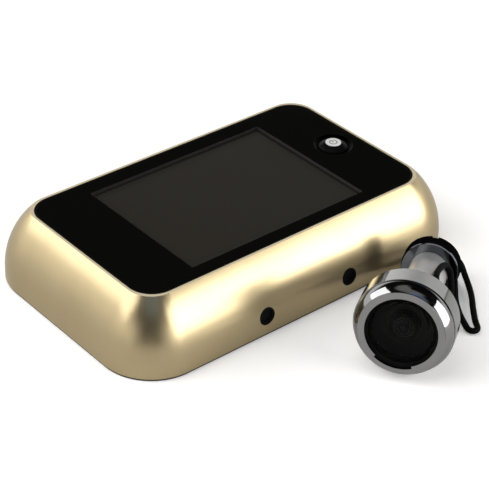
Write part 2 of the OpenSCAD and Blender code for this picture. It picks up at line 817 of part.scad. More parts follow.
module sleeve_nut() {
    color([0.8, 0.8, 0.82])
    on_camera()
    difference() {
        rotate_extrude()
            polygon([[sleeve_in_r, -reach], [flange_r - flange_chamfer, -reach],
                [flange_r, flange_chamfer - reach], [flange_r, flange_t - flange_chamfer - reach],
                [flange_r - flange_chamfer, flange_t - reach], [sleeve_r, flange_t - reach],
                [sleeve_r, -sleeve_front], [sleeve_in_r, -sleeve_front]]);
        for (x = [-1, 1])
            translate([x * flange_r - flange_r / 3, -slot_w / 2, -reach - past])
                cube([2 * flange_r / 3, slot_w, slot_deep + past]);
    }
}

module camera_cable() {
    color([0.03, 0.03, 0.03])
        polyhedron(points = lead_verts, faces = concat(lead_sides_faces, [lead_near_end, lead_far_end]),
            convexity = 10);
}

module cable_plug() {
    color([0.05, 0.05, 0.05])
    translate(plug_at) rotate([0, 0, plug_turn]) {
        rotate([0, 90, 0]) cylinder(r = plug_neck_r, h = plug_neck_len + eps);
        translate([plug_neck_len, -plug_w / 2, -plug_h / 2]) cube([plug_len - plug_neck_len, plug_w, plug_h]);
    }
}

front_housing();
rear_cover();
front_panel();
lcd_gasket();
lcd_frame();
lcd_glass();
main_board();
board_parts();
lcd_ribbon();
tact_switch();
camera_socket();
battery_cells();
battery_contacts();
case_screws();
button_cap();
button_icon();
battery_door();
wall_bracket();
camera_shell();
camera_bezel();
window_gasket();
camera_window();
sensor_board();
lens_holder();
camera_lens();
camera_stem();
stem_grommet();
sleeve_washer();
sleeve_nut();
camera_cable();
cable_plug();
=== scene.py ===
# %% [markdown]
# A peephole door camera: a champagne monitor that lies on its back, and the chrome camera
# head that goes through the door, lying in front of it with its black lead.
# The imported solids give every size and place. This lesson gives them their finishes, swaps
# the lead, the plug, the screws and the stem for fuller pieces, adds the ridges of the battery
# lid's grip and the seals in the lock holes, and sets up a photo studio.

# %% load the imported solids
import json
import math

import bpy
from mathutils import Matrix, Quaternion, Vector

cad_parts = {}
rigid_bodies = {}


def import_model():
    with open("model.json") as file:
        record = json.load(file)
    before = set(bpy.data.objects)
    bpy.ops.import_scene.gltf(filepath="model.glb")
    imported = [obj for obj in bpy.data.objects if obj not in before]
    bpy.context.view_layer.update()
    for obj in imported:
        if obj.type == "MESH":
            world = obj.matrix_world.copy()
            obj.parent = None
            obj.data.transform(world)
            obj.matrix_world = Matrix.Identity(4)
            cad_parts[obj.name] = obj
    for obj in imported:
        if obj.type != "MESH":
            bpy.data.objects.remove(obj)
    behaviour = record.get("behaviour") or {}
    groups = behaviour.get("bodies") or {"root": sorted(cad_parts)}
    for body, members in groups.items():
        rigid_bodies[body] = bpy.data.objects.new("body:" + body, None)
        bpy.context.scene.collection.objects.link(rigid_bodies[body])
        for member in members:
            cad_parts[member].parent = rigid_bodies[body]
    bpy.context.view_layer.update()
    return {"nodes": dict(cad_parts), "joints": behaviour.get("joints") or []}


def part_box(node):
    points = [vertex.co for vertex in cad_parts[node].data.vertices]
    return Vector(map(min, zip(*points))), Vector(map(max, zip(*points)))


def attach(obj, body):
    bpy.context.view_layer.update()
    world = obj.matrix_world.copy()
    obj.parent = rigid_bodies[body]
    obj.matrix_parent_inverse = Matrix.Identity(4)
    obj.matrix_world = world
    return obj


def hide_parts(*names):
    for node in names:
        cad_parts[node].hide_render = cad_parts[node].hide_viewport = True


bpy.ops.object.select_all(action="SELECT")
bpy.ops.object.delete()
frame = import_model()
nodes = frame["nodes"]
joints = {joint["name"]: joint for joint in frame["joints"]}
MM = 0.001


# %% [markdown]
# The camera comes first, because everything else is judged through it. It could be placed by
# eye, but the panel's four corners and the shell's outline are clear enough to solve from:
# together they give the direction, the distance, a small roll and the focal length.

# %% the photograph's viewpoint
VIEW_AZIMUTH = math.radians(-40.685)
VIEW_ELEVATION = math.radians(33.974)
VIEW_ROLL = math.radians(1.523)
VIEW_DISTANCE = 0.52043
VIEW_TARGET = Vector((-15.375, -27.113, 24.621)) * MM
VIEW_LENS = 124.61
SENSOR_WIDTH = 36


def direction(azimuth, elevation):
    """Unit vector towards a place seen from the object, azimuth 0 in front and 90 to the right."""
    flat = math.cos(elevation)
    return Vector((math.sin(azimuth) * flat, -math.cos(azimuth) * flat, math.sin(elevation)))


towards_view = direction(VIEW_AZIMUTH, VIEW_ELEVATION)
bpy.ops.object.camera_add(location=VIEW_TARGET + towards_view * VIEW_DISTANCE)
camera = bpy.context.active_object
camera.rotation_mode = "QUATERNION"
level = (-towards_view).to_track_quat("-Z", "Y")
camera.rotation_quaternion = level @ Quaternion((0, 0, 1), VIEW_ROLL)
camera.data.sensor_width = SENSOR_WIDTH
camera.data.lens = VIEW_LENS
bpy.context.scene.camera = camera
print("camera at", [round(v, 4) for v in camera.location])


# %% [markdown]
# The lead is a limp two-millimetre cable. It leaves the stem through a grommet, runs inside
# the sleeve, comes out at the flange, lies in a narrow loop beside the head, goes round behind
# the flange and the head, comes up over the sleeve's shoulder and ends in a small plug under
# the sleeve. A curve with a round bevel is the natural tool, but a bevelled curve reports a box
# that is far too large, so the finished curve is turned into a mesh.

# %% place of the camera head
SLEEVE_REACH = 38.8 * MM
STEM_LENGTH = 24 * MM
head_axis = -Vector(joints["nut_travel"]["axis"]).normalized()
head_back = Vector(joints["nut_turn"]["pos_m"]) + head_axis * SLEEVE_REACH
print("head's back face at", [round(v / MM, 2) for v in head_back])

# %% route of the lead
PAST_SLEEVE = 1 * MM
# In millimetres: two steps over the table from the head's back face, then the height above it
LEAD_PLAN = [
    (39.6, 23.2, 8), (42, 20.6, 6.9), (43.1, 18.8, 5), (42.6, 16.8, 3), (41, 13.4, 1.6),
    (37.5, 8.4, 1.2), (32.8, 3.2, 1.2), (28.8, -1.5, 1.2), (27.4, -3.5, 1.2), (26.3, -5.15, 1.2),
    (24.8, -5.9, 1.2), (23.4, -4.95, 1.2), (23.5, -3.25, 1.2), (24.45, -1.5, 1.2), (26.7, 2.8, 1.2),
    (30.9, 8.8, 1.2), (36, 14.2, 1.2), (40.8, 19.5, 1.2), (42.9, 25.2, 1.2), (38.9, 29.7, 1.2),
    (31.5, 30, 1.2), (24, 26.6, 1.2), (16.8, 21.2, 1.2), (11.2, 14.4, 1.2), (8.4, 7, 1.5),
    (7.9, 0.8, 3.2), (8.2, -3, 7.2), (9.4, -3.2, 12.8), (12.4, 0.6, 17.6), (16.6, 5.6, 18.9),
    (22, 9.1, 17.9), (26.5, 11, 16.1), (28.6, 10.8, 13.3), (28.6, 9.8, 9.6), (28.1, 8.7, 5.2),
    (25.6, 7.5, 2.2), (22, 8, 2.2)]
inside_sleeve = [STEM_LENGTH, (STEM_LENGTH + SLEEVE_REACH) / 2, SLEEVE_REACH + PAST_SLEEVE]
lead_knots = [head_back - head_axis * along for along in inside_sleeve]
for x, y, z in LEAD_PLAN:
    lead_knots.append(Vector((head_back.x + x * MM, head_back.y + y * MM, z * MM)))
print("lead has", len(lead_knots), "knots")


# %% the lead's centreline
LINE_STEP = 0.5 * MM
EASING_ROUNDS = 6


def through(knots, pieces=12):
    """Smooth line through the knots, with the slope at each set by its neighbours."""
    padded = [2 * knots[0] - knots[1], *knots, 2 * knots[-1] - knots[-2]]
    line = []
    for a, b, c, d in zip(padded, padded[1:], padded[2:], padded[3:]):
        for k in range(pieces):
            t = k / pieces
            curve = (2 * a - 5 * b + 4 * c - d) * t ** 2 + (3 * b - a - 3 * c + d) * t ** 3
            line.append((2 * b + (c - a) * t + curve) / 2)
    line.append(knots[-1])
    return line


def evened(line, step):
    """The same line with its points one step apart."""
    points = [line[0]]
    wanted = step
    for a, b in zip(line, line[1:]):
        span = (b - a).length
        while wanted <= span:
            points.append(a + (b - a) * (wanted / span))
            wanted += step
        wanted -= span
    points.append(line[-1])
    return points


def eased(line, rounds):
    """The line with each point drawn to its neighbours, so that no bend is tighter than it must be."""
    for _ in range(rounds):
        moved = [(a + 2 * b + c) / 4 for a, b, c in zip(line, line[1:], line[2:])]
        line = [line[0], *moved, line[-1]]
    return line


lead_line = eased(evened(through(lead_knots), LINE_STEP), EASING_ROUNDS)


# %% helpers for working on one mesh
def deselect():
    """Leave edit mode and clear the selection, so that an operator touches one piece only."""
    if bpy.context.object and bpy.context.object.mode != "OBJECT":
        bpy.ops.object.mode_set(mode="OBJECT")
    bpy.ops.object.select_all(action="DESELECT")


def take(piece):
    """Make one piece the selected and active one."""
    deselect()
    piece.select_set(True)
    bpy.context.view_layer.objects.active = piece


def settle(piece, angle=35):
    """Put the piece's place, turn and size into its mesh, and shade it by angle."""
    take(piece)
    bpy.ops.object.transform_apply(location=True, rotation=True, scale=True)
    bpy.ops.object.shade_smooth_by_angle(angle=math.radians(angle))


# %% the lead as a tube
LEAD_RADIUS = 1.0 * MM
TUBE_ROUNDNESS = 5
TUBE_SHADING = 60
WELD_DISTANCE = 0.001 * MM


def tube_along(name, line, radius):
    """Round tube along a line of points, as a closed mesh."""
    curve = bpy.data.curves.new(name, "CURVE")
    curve.dimensions = "3D"
    curve.bevel_depth = radius
    curve.bevel_resolution = TUBE_ROUNDNESS
    curve.use_fill_caps = True
    spline = curve.splines.new("POLY")
    spline.points.add(len(line) - 1)
    for knot, place in zip(spline.points, line):
        knot.co = (*place, 1)
    piece = bpy.data.objects.new(name, curve)
    bpy.context.scene.collection.objects.link(piece)
    take(piece)
    bpy.ops.object.convert(target="MESH")
    bpy.ops.object.mode_set(mode="EDIT")
    bpy.ops.mesh.select_all(action="SELECT")
    bpy.ops.mesh.remove_doubles(threshold=WELD_DISTANCE)
    bpy.ops.mesh.normals_make_consistent(inside=False)
    settle(piece, TUBE_SHADING)
    return piece


lead = tube_along("lead", lead_line, LEAD_RADIUS)
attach(lead, "camera")
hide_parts("camera_cable")
print("lead tube has", len(lead.data.polygons), "faces")


# %% [markdown]
# The plug at the lead's end is a small moulded connector: a boot for the cable, a rectangular
# body with softened edges, and an open front. The solid's box is the right size, so the piece
# starts as a cube of that size, its front is inset and pushed in for the contact well, a
# thumb rest is pressed into its top, and a bevel softens it all.

# %% helpers for shaping
FACING = 0.9
SHARP_ANGLE = math.radians(40)
ROUND_SIDES = 48


def pick_faces(piece, wanted):
    """In edit mode, select the faces whose centre and normal pass the test."""
    bpy.ops.object.mode_set(mode="EDIT")
    bpy.ops.mesh.select_mode(type="FACE")
    bpy.ops.mesh.select_all(action="DESELECT")
    bpy.ops.object.mode_set(mode="OBJECT")
    for face in piece.data.polygons:
        face.select = wanted(face.center, face.normal)
    bpy.ops.object.mode_set(mode="EDIT")


def push(x, y, z):
    """Extrude the selected faces or edges by a step."""
    bpy.ops.mesh.extrude_region_move(TRANSFORM_OT_translate={"value": (x, y, z)})


def soften(piece, width, segments=3):
    """Round the sharp edges with a bevel modifier, and apply it."""
    bevel = piece.modifiers.new("soft_edges", "BEVEL")
    bevel.width = width
    bevel.segments = segments
    bevel.limit_method = "ANGLE"
    bevel.angle_limit = SHARP_ANGLE
    bpy.ops.object.modifier_apply(modifier=bevel.name)


def copy_of(piece, name):
    """Copy of a finished piece, with a mesh of its own."""
    take(piece)
    bpy.ops.object.duplicate()
    copy = bpy.context.active_object
    copy.name = name
    return copy


# %% the plug
PLUG_NECK = 2 * MM
PLUG_BODY = Vector((7, 5, 4)) * MM
WELL_WALL = 0.7 * MM
WELL_DEPTH = 2.5 * MM
THUMB_MARGIN = 1.6 * MM
THUMB_DEPTH = 0.3 * MM
NECK_MARGIN = 0.9 * MM
PLUG_EDGE = 0.22 * MM
plug_start = lead_knots[-1]
plug_run = plug_start - lead_knots[-2]
plug_turn = math.atan2(plug_run.y, plug_run.x)

deselect()
bpy.ops.mesh.primitive_cube_add(size=1)
plug = bpy.context.active_object
plug.name = "lead_plug"
plug.scale = PLUG_BODY
bpy.ops.object.transform_apply(location=False, rotation=False, scale=True)
pick_faces(plug, lambda centre, normal: normal.x > FACING)
bpy.ops.mesh.inset(thickness=WELL_WALL)
push(-WELL_DEPTH, 0, 0)
plug_top = PLUG_BODY.z / 2 - THUMB_DEPTH
pick_faces(plug, lambda centre, normal: normal.z > FACING and centre.z > plug_top)
bpy.ops.mesh.inset(thickness=THUMB_MARGIN)
push(0, 0, -THUMB_DEPTH)
pick_faces(plug, lambda centre, normal: normal.x < -FACING)
bpy.ops.mesh.inset(thickness=NECK_MARGIN)
push(-PLUG_NECK, 0, 0)
bpy.ops.object.mode_set(mode="OBJECT")
soften(plug, PLUG_EDGE)
middle = PLUG_NECK + PLUG_BODY.x / 2
plug.rotation_euler = (0, 0, plug_turn)
plug.location = plug_start + Vector((math.cos(plug_turn), math.sin(plug_turn), 0)) * middle
settle(plug)
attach(plug, "camera")
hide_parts("cable_plug")
print("plug has", len(plug.data.polygons), "faces")


# %% [markdown]
# Four round pockets in the back hold the case screws. Each screw is a pan head with a cross
# recess on a plain shank. A recess is quickest with a boolean: two crossed bars are cut out of
# the head. One screw is modelled and copied to the other corners.

# %% one case screw
SCREW_HEAD_RADIUS = 2.6 * MM
SCREW_HEAD_HEIGHT = 1.3 * MM
SCREW_SHANK_RADIUS = 1.05 * MM
SCREW_TIP = 1 * MM
TIP_SHARE = 0.35
SCREW_EDGE = 0.35 * MM
RECESS = Vector((3.0, 0.75, 1.2)) * MM
screws_low, screws_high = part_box("case_screws")
shank_length = screws_high.z - screws_low.z - SCREW_HEAD_HEIGHT

deselect()
bpy.ops.mesh.primitive_cylinder_add(vertices=ROUND_SIDES, radius=SCREW_HEAD_RADIUS,
                                    depth=SCREW_HEAD_HEIGHT)
screw = bpy.context.active_object
screw.name = "case_screw_1"
soften(screw, SCREW_EDGE)
pick_faces(screw, lambda centre, normal: normal.z > FACING)
bpy.ops.mesh.inset(thickness=SCREW_HEAD_RADIUS - SCREW_EDGE - SCREW_SHANK_RADIUS)
push(0, 0, shank_length - SCREW_TIP)
push(0, 0, SCREW_TIP)
bpy.ops.transform.resize(value=(TIP_SHARE, TIP_SHARE, 1))
bpy.ops.object.mode_set(mode="OBJECT")
for turn in (0, math.pi / 2):
    deselect()
    bpy.ops.mesh.primitive_cube_add(size=1, location=(0, 0, -SCREW_HEAD_HEIGHT / 2),
                                    rotation=(0, 0, turn))
    bar = bpy.context.active_object
    bar.scale = RECESS
    take(screw)
    cut = screw.modifiers.new("recess", "BOOLEAN")
    cut.operation = "DIFFERENCE"
    cut.object = bar
    bpy.ops.object.modifier_apply(modifier=cut.name)
    bpy.data.objects.remove(bar)
print("screw has", len(screw.data.polygons), "faces")

# %% four case screws
FIRST_TURN = 20
TURN_STEP = 37
corner_x = screws_high.x - SCREW_HEAD_RADIUS
corner_y = screws_high.y - SCREW_HEAD_RADIUS
head_middle = screws_low.z + SCREW_HEAD_HEIGHT / 2
screws = [screw, *(copy_of(screw, f"case_screw_{number}") for number in (2, 3, 4))]
for number, piece in enumerate(screws):
    side = -1 if number % 2 else 1
    end = -1 if number > 1 else 1
    piece.location = (side * corner_x, end * corner_y, head_middle)
    piece.rotation_euler = (0, 0, math.radians(FIRST_TURN + TURN_STEP * number))
    settle(piece)
    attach(piece, "monitor")
    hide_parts("case_screws")
print("screws at", round(corner_x / MM, 2), round(corner_y / MM, 2))


# %% [markdown]
# The stem behind the head is threaded, so that the sleeve can be screwed up against the door.
# A helix would need open ends to be closed by hand; at this size stacked rings look the same
# and close by themselves. One ring of thread is drawn by extruding a circle through a trapezoid
# section, an Array modifier stacks it, and the two ends are bridged through the bore.

# %% threaded stem
THREAD_PITCH = 1.0 * MM
THREAD_DEPTH = 0.4 * MM
STEM_RADIUS = 5.2 * MM
BORE_RADIUS = 4.2 * MM
STEM_SIDES = 72
NEAR = 0.05 * MM
MERGE_DISTANCE = 0.01 * MM
root_radius = STEM_RADIUS - THREAD_DEPTH
crest = STEM_RADIUS / root_radius


def swell(factor):
    """Scale the selected ring about the stem's axis."""
    bpy.ops.transform.resize(value=(factor, factor, 1), center_override=(0, 0, 0))


def pick_ring(piece, wanted):
    """In edit mode, select the points that pass the test, and the edges between them."""
    bpy.ops.object.mode_set(mode="EDIT")
    bpy.ops.mesh.select_mode(type="VERT")
    bpy.ops.mesh.select_all(action="DESELECT")
    bpy.ops.object.mode_set(mode="OBJECT")
    for point in piece.data.vertices:
        point.select = wanted(point.co)
    bpy.ops.object.mode_set(mode="EDIT")
    bpy.ops.mesh.select_mode(type="EDGE")


deselect()
bpy.ops.mesh.primitive_circle_add(vertices=STEM_SIDES, radius=root_radius, location=(0, 0, -STEM_LENGTH))
stem = bpy.context.active_object
stem.name = "threaded_stem"
bpy.ops.object.transform_apply(location=True, rotation=False, scale=False)
bpy.ops.object.mode_set(mode="EDIT")
bpy.ops.mesh.select_all(action="SELECT")
for growth in (1, crest, 1, 1 / crest):
    bpy.ops.mesh.extrude_edges_move(TRANSFORM_OT_translate={"value": (0, 0, THREAD_PITCH / 4)})
    swell(growth)
bpy.ops.object.mode_set(mode="OBJECT")
stack = stem.modifiers.new("turns", "ARRAY")
stack.count = round(STEM_LENGTH / THREAD_PITCH)
stack.use_relative_offset = False
stack.use_constant_offset = True
stack.constant_offset_displace = (0, 0, THREAD_PITCH)
stack.use_merge_vertices = True
stack.merge_threshold = MERGE_DISTANCE
bpy.ops.object.modifier_apply(modifier=stack.name)
for end_height in (-STEM_LENGTH, 0):
    pick_ring(stem, lambda place: abs(place.z - end_height) < NEAR)
    bpy.ops.mesh.extrude_edges_move()
    swell(BORE_RADIUS / root_radius)
pick_ring(stem, lambda place: place.xy.length < BORE_RADIUS + NEAR)
bpy.ops.mesh.bridge_edge_loops()
bpy.ops.mesh.select_all(action="SELECT")
bpy.ops.mesh.normals_make_consistent(inside=False)
bpy.ops.object.mode_set(mode="OBJECT")
stem.rotation_mode = "QUATERNION"
stem.rotation_quaternion = Vector((0, 0, 1)).rotation_difference(head_axis)
stem.location = head_back
settle(stem)
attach(stem, "camera")
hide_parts("camera_stem")
print("stem has", len(stem.data.polygons), "faces")


# %% [markdown]
# The thumb grip of the battery lid is a round hollow with moulded ridges. The hollow is in the
# solid; the ridges are small bars that stand in it, each as long as the hollow is wide there.

# %% grip ridges
GRIP_RADIUS = 7 * MM
GRIP_ROOF = 0.9 * MM
RIDGE_COUNT = 5
RIDGE_PITCH = 2.0 * MM
RIDGE_MARGIN = 2 * MM
RIDGE_WIDTH = 0.8 * MM
RIDGE_HEIGHT = 0.5 * MM
RIDGE_EDGE = 0.18 * MM
door_low, door_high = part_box("battery_door")
grip = Vector(((door_low.x + door_high.x) / 2, door_high.y - GRIP_RADIUS, GRIP_ROOF - RIDGE_HEIGHT / 2))
ridges = []
for number in range(RIDGE_COUNT):
    off = (number - (RIDGE_COUNT - 1) / 2) * RIDGE_PITCH
    run = 2 * math.sqrt(GRIP_RADIUS ** 2 - off ** 2) - 2 * RIDGE_MARGIN
    deselect()
    bpy.ops.mesh.primitive_cube_add(size=1, location=grip + Vector((0, off, 0)))
    ridge = bpy.context.active_object
    ridge.name = f"grip_ridge_{number + 1}"
    ridge.scale = (run, RIDGE_WIDTH, RIDGE_HEIGHT)
    bpy.ops.object.transform_apply(location=False, rotation=False, scale=True)
    soften(ridge, RIDGE_EDGE)
    settle(ridge)
    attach(ridge, "battery_lid")
    ridges.append(ridge)
print(len(ridges), "ridges on the lid")


# %% [markdown]
# Two lock holes in the front wall let a screw through to the bracket. Each is closed by a black
# rubber seal just inside its mouth, thin in the middle so that the screw can pierce it. The seal
# starts as a disc: its outer face is inset and pushed in to leave a lip, and a bevel rounds it.
# One seal is modelled and copied, and a ray cast beside each hole finds the wall it sits behind.

# %% seals in the lock holes
LOCK_HOLES = (-18.15 * MM, 16.15 * MM)
LOCK_HEIGHT = 7.1 * MM
SEAL_RADIUS = 2.9 * MM
SEAL_LIP = 0.6 * MM
SEAL_DEPTH = 1.1 * MM
SEAL_HOLLOW = 0.7 * MM
SEAL_RECESS = 0.4 * MM
SEAL_EDGE = 0.15 * MM
RAY_ASIDE = 4 * MM
RAY_START = -100 * MM

deselect()
bpy.ops.mesh.primitive_cylinder_add(vertices=ROUND_SIDES, radius=SEAL_RADIUS, depth=SEAL_DEPTH)
seal = bpy.context.active_object
seal.name = "lock_seal_1"
pick_faces(seal, lambda centre, normal: normal.z > FACING)
bpy.ops.mesh.inset(thickness=SEAL_LIP)
push(0, 0, -SEAL_HOLLOW)
bpy.ops.object.mode_set(mode="OBJECT")
soften(seal, SEAL_EDGE)
lock_seals = [seal, copy_of(seal, "lock_seal_2")]
for lock_x, piece in zip(LOCK_HOLES, lock_seals):
    ray_start = Vector((lock_x + RAY_ASIDE, RAY_START, LOCK_HEIGHT))
    _, wall_place, _, _ = nodes["front_housing"].ray_cast(ray_start, Vector((0, 1, 0)))
    piece.rotation_euler = (math.pi / 2, 0, 0)
    piece.location = (lock_x, wall_place.y + SEAL_RECESS + SEAL_DEPTH / 2, LOCK_HEIGHT)
    settle(piece)
    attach(piece, "monitor")
print(len(lock_seals), "lock seals behind the wall at y", round(wall_place.y / MM, 2))


# %% [markdown]
# The studio: a large pale floor, a wide softbox at the back left that is the main light, a
# smaller one at the front right that draws the white band along the shell's long side, and a
# soft lamp above for the floor's brightness and the shadow. Polished black and chrome show
# every lamp as a shape, so the upper lamp is hidden from reflections, and the two softboxes
# leave out the panel and the display, which would mirror them as white sheets. The world is
# bright low down, like a white sweep, and dark higher up and behind the camera. A faint ceiling
# light and one patch of bluish skylight overhead give polished faces something to mirror. The
# camera itself sees the world white, and the floor is lifted a little for it and greyer in mirrors.

# %% floor
FLOOR_SIZE = 6
FLOOR_DROP = 0.1 * MM
FLOOR_LIFT = 0.2
FLOOR_TONE = (0.9, 0.888, 0.868)
FLOOR_MIRRORED = (0.69, 0.68, 0.665)
FLOOR_GLOW = (1, 0.995, 0.985, 1)
FLOOR_ROUGHNESS = 0.8
FLOOR_SPECULAR = 0.1


def new_material(name):
    """Empty node material with a Principled surface, returned with its tree and that node."""
    material = bpy.data.materials.new(name)
    material.use_nodes = True
    tree = material.node_tree
    return material, tree, tree.nodes["Principled BSDF"]


def scalar(tree, operation, first, second=None):
    """One Math node; a number goes on its own socket."""
    step = tree.nodes.new("ShaderNodeMath")
    step.operation = operation
    for socket, value in zip(step.inputs, (first, second)):
        if value is None:
            continue
        if isinstance(value, (int, float)):
            socket.default_value = value
        else:
            tree.links.new(value, socket)
    return step.outputs["Value"]


def two_tone(tree, value, first, second):
    """Colour between two tones, each given as numbers or as another node's output."""
    blend = tree.nodes.new("ShaderNodeMix")
    blend.data_type = "RGBA"
    for socket, tone in (("A", first), ("B", second)):
        if isinstance(tone, tuple):
            blend.inputs[socket].default_value = (*tone, 1)
        else:
            tree.links.new(tone, blend.inputs[socket])
    tree.links.new(value, blend.inputs["Factor"])
    return blend.outputs["Result"]


deselect()
bpy.ops.mesh.primitive_plane_add(size=FLOOR_SIZE, location=(0, 0, -FLOOR_DROP))
floor = bpy.context.active_object
floor.name = "floor"
floor_paint, floor_tree, floor_surface = new_material("floor_paint")
floor_surface.inputs["Roughness"].default_value = FLOOR_ROUGHNESS
floor_surface.inputs["Specular IOR Level"].default_value = FLOOR_SPECULAR
seen = floor_tree.nodes.new("ShaderNodeLightPath")
floor_tree.links.new(two_tone(floor_tree, seen.outputs["Is Glossy Ray"], FLOOR_TONE, FLOOR_MIRRORED),
                     floor_surface.inputs["Base Color"])
floor_surface.inputs["Emission Color"].default_value = FLOOR_GLOW
floor_tree.links.new(scalar(floor_tree, "MULTIPLY", seen.outputs["Is Camera Ray"], FLOOR_LIFT),
                     floor_surface.inputs["Emission Strength"])
floor.data.materials.append(floor_paint)
print("floor", FLOOR_SIZE, "m wide")


# %% world
world = bpy.data.worlds.new("studio")
bpy.context.scene.world = world
world.use_nodes = True
sky = world.node_tree
aim = sky.nodes.new("ShaderNodeTexCoord").outputs["Generated"]
split = sky.nodes.new("ShaderNodeSeparateXYZ")
sky.links.new(aim, split.inputs["Vector"])
height = split.outputs["Z"]
level_aim = sky.nodes.new("ShaderNodeVectorMath")
level_aim.operation = "MULTIPLY"
level_aim.inputs[1].default_value = (1, 1, 0)
sky.links.new(aim, level_aim.inputs[0])
round_aim = sky.nodes.new("ShaderNodeVectorMath")
round_aim.operation = "NORMALIZE"
sky.links.new(level_aim.outputs["Vector"], round_aim.inputs[0])


def sine(degrees):
    """Sine of an angle in degrees."""
    return math.sin(math.radians(degrees))


def cosine(degrees):
    """Cosine of an angle in degrees."""
    return math.cos(math.radians(degrees))


def ramp(tree, value, start, stop, first, last, shape="SMOOTHSTEP"):
    """Change from first to last as the value goes from start to stop."""
    change = tree.nodes.new("ShaderNodeMapRange")
    change.interpolation_type = shape
    for socket, number in zip(("From Min", "From Max", "To Min", "To Max"), (start, stop, first, last)):
        change.inputs[socket].default_value = number
    tree.links.new(value, change.inputs["Value"])
    return change.outputs["Result"]


def nearness(vector, towards, edge, full, first, last):
    """Change from first to last as the vector turns to a direction, between two angles from it."""
    turn = sky.nodes.new("ShaderNodeVectorMath")
    turn.operation = "DOT_PRODUCT"
    turn.inputs[1].default_value = towards
    sky.links.new(vector, turn.inputs[0])
    return ramp(sky, turn.outputs["Value"], cosine(edge), cosine(full), first, last)


def dimmed(azimuth, full, edge, share):
    """Factor that takes a share of the light away round one azimuth, given in degrees."""
    towards = direction(math.radians(azimuth), 0)
    return nearness(round_aim.outputs["Vector"], towards, edge, full, 1, 1 - share)


print("world", world.name, "has its directions")


# %% light of the world
SWEEP_LIGHT = 1.25
SWEEP_EDGE = (14, 30)
ROOM_DARK = 0.01
CEILING_LIGHT = 0.3
CEILING_EDGE = (58, 70)
SKYLIGHT = 0.4
SKYLIGHT_AZIMUTH = math.radians(-36)
SKYLIGHT_ELEVATION = math.radians(51)
ROOM_TINT = (1, 0.99, 0.97)
SKYLIGHT_TINT = (0.38, 0.58, 1)
rise = ramp(sky, height, sine(SWEEP_EDGE[0]), sine(SWEEP_EDGE[1]), SWEEP_LIGHT, ROOM_DARK)
behind_camera = dimmed(azimuth=-40, full=15, edge=40, share=0.95)
behind_object = dimmed(azimuth=105, full=20, edge=45, share=0.2)
sweep = scalar(sky, "MULTIPLY", rise, scalar(sky, "MULTIPLY", behind_camera, behind_object))
overhead = ramp(sky, height, sine(CEILING_EDGE[0]), sine(CEILING_EDGE[1]), 0, CEILING_LIGHT)
ceiling = scalar(sky, "MULTIPLY", dimmed(azimuth=80, full=40, edge=75, share=1), overhead)
skylight_aim = direction(SKYLIGHT_AZIMUTH, SKYLIGHT_ELEVATION)
in_skylight = nearness(aim, skylight_aim, edge=24, full=8, first=0, last=1)
strength = scalar(sky, "ADD", scalar(sky, "ADD", sweep, ceiling),
                  scalar(sky, "MULTIPLY", in_skylight, SKYLIGHT))
looked_at = sky.nodes.new("ShaderNodeLightPath").outputs["Is Camera Ray"]
shown = scalar(sky, "MULTIPLY", looked_at, SWEEP_LIGHT)
backdrop = sky.nodes["Background"]
sky.links.new(two_tone(sky, in_skylight, ROOM_TINT, SKYLIGHT_TINT), backdrop.inputs["Color"])
sky.links.new(scalar(sky, "MAXIMUM", strength, shown), backdrop.inputs["Strength"])
print("world: sweep", SWEEP_LIGHT, "room", ROOM_DARK, "ceiling", CEILING_LIGHT)


# %% softboxes
def softbox(name, azimuth, elevation, distance, width, height, radiance):
    """Rectangular lamp that faces the object, with its power from the brightness of its face."""
    lamp = bpy.data.lights.new(name, "AREA")
    lamp.shape = "RECTANGLE"
    lamp.size = width
    lamp.size_y = height
    lamp.energy = radiance * math.pi * width * height
    box = bpy.data.objects.new(name, lamp)
    box.location = direction(math.radians(azimuth), math.radians(elevation)) * distance
    box.rotation_euler = (-box.location).to_track_quat("-Z", "Y").to_euler()
    bpy.context.scene.collection.objects.link(box)
    return box


main_box = softbox("main_box", azimuth=-128, elevation=36, distance=1.0,
                   width=1.2, height=0.58, radiance=3.3)
front_box = softbox("front_box", azimuth=31, elevation=19, distance=0.9,
                    width=0.82, height=0.62, radiance=4.4)
upper_lamp = softbox("upper_lamp", azimuth=-95, elevation=66, distance=1.2,
                     width=1.0, height=1.0, radiance=2.0)
upper_lamp.visible_glossy = False
print("three softboxes set")


# %% no glare on the panel
no_glare = bpy.data.collections.new("no_glare")
for name in ("front_panel", "lcd_glass"):
    no_glare.objects.link(nodes[name])
for member in no_glare.collection_objects:
    member.light_linking.link_state = "EXCLUDE"
for box in (main_box, front_box):
    box.light_linking.receiver_collection = no_glare


# %% [markdown]
# The shell's champagne lacquer is a metallic spray over plastic: a warm pale metal with a
# satin sheen and tiny flakes. A flat gold colour would look like foil, so the tone wanders a
# little over centimetres, the flakes change the roughness over tenths of a millimetre, and a
# fine bump gives the slight orange peel of a sprayed coat. Two places are found by position:
# the flat rim round the panel gets a paler, less metallic tone as a painted highlight, and the
# walls of the two lock holes are painted near-black as painted shade.

# %% helpers for finishes
NOISE_BAND = (0.3, 0.7)


def object_place(tree):
    """Output with the piece's own coordinates."""
    return tree.nodes.new("ShaderNodeTexCoord").outputs["Object"]


def object_noise(tree, scale, detail=2.0):
    """Noise in the piece's own coordinates, where scale is cells in a metre."""
    noise = tree.nodes.new("ShaderNodeTexNoise")
    noise.inputs["Scale"].default_value = scale
    noise.inputs["Detail"].default_value = detail
    tree.links.new(object_place(tree), noise.inputs["Vector"])
    return noise.outputs["Fac"]


def spread(tree, value, low, high):
    """Map a noise value from its usual middle band to low..high."""
    return ramp(tree, value, *NOISE_BAND, low, high, shape="LINEAR")


def wander(tree, scale):
    """Slow change between 0 and 1 over a piece."""
    return spread(tree, object_noise(tree, scale, detail=3.0), 0, 1)


